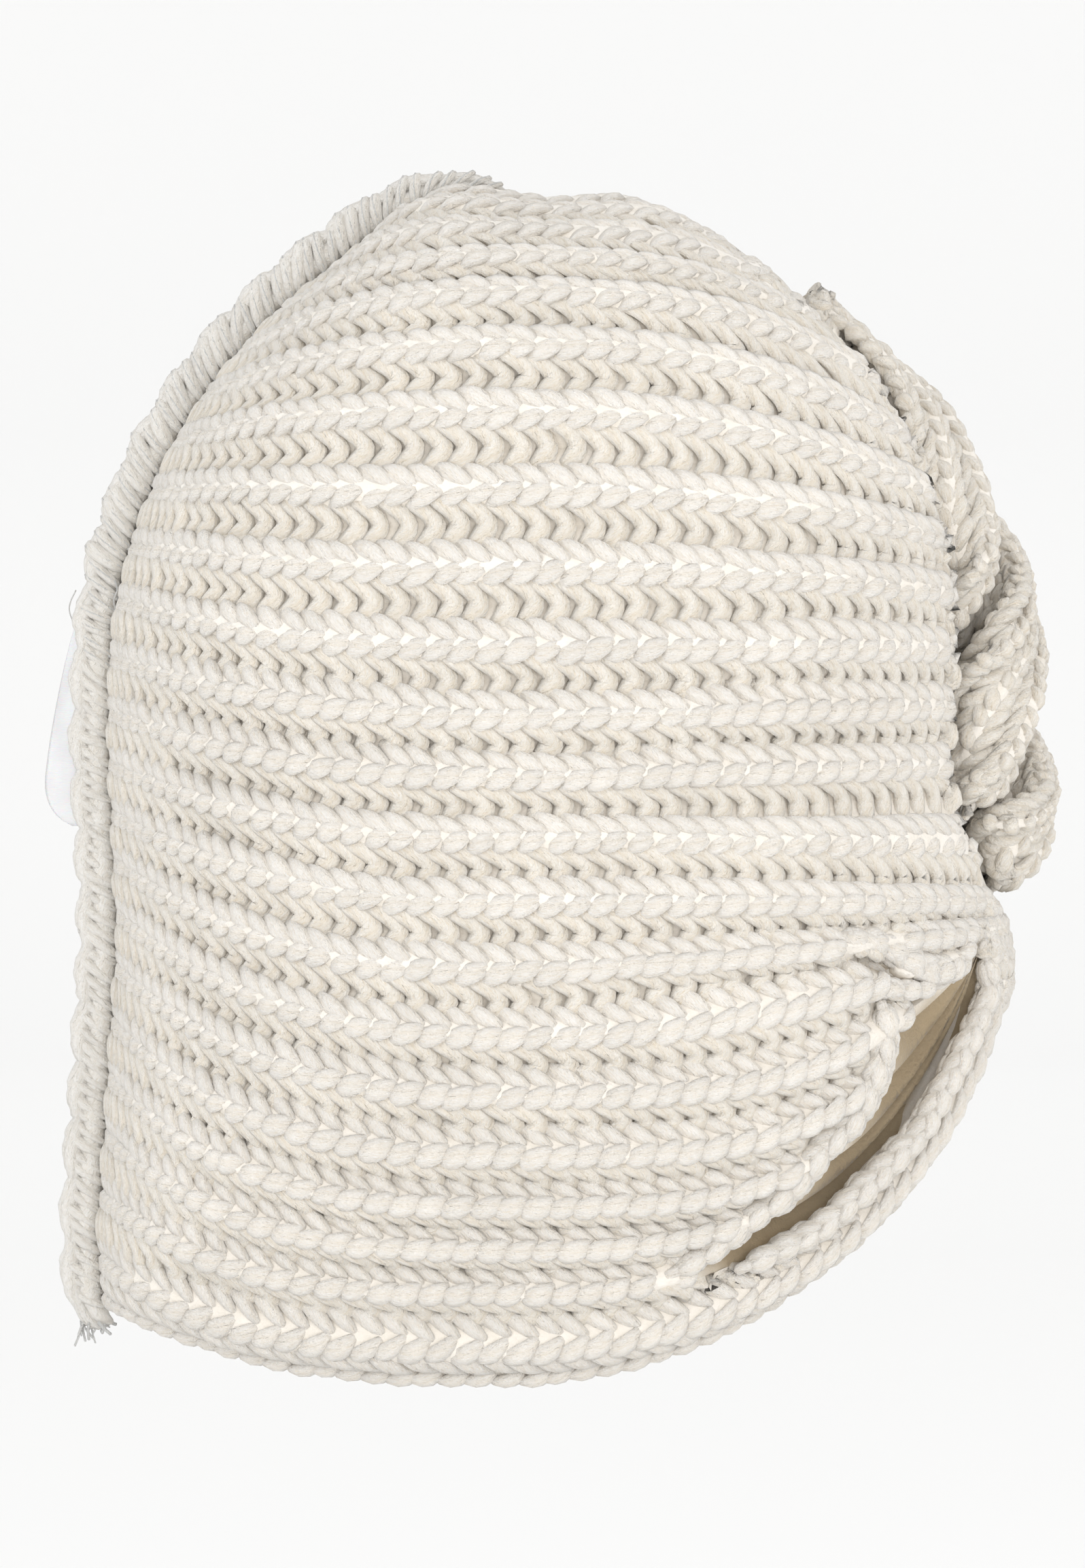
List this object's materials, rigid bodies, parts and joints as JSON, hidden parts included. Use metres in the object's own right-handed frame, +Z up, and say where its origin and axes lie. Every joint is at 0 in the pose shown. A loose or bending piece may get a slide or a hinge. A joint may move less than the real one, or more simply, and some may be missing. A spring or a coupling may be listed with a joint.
{
  "type": "turban hat",
  "caption": "Baby's chunky rib knit turban hat in its worn form, hollow and open below, with a two-strand twist down the front and a raised back seam.",
  "frame": {"origin": "inside of the crown, where the top of the head touches the hat", "axes": "+X towards the front of the hat, +Y towards the wearer's left, +Z up"},
  "size_m": [0.1778, 0.1354, 0.2096],
  "materials": {
    "rib_knit": "soft ivory yarn in a deep rib stitch, matt with a faint halo of fibres",
    "seam_knit": "overlocked knit edge with slanting white thread",
    "label_satin": "thin white satin tape, slightly shiny, blank"
  },
  "bodies": {
    "root": {"knit_shell": "rib_knit", "twist_strand_right": "rib_knit", "twist_strand_left": "rib_knit", "back_seam": "seam_knit", "label": "label_satin"}
  },
  "joints": []
}
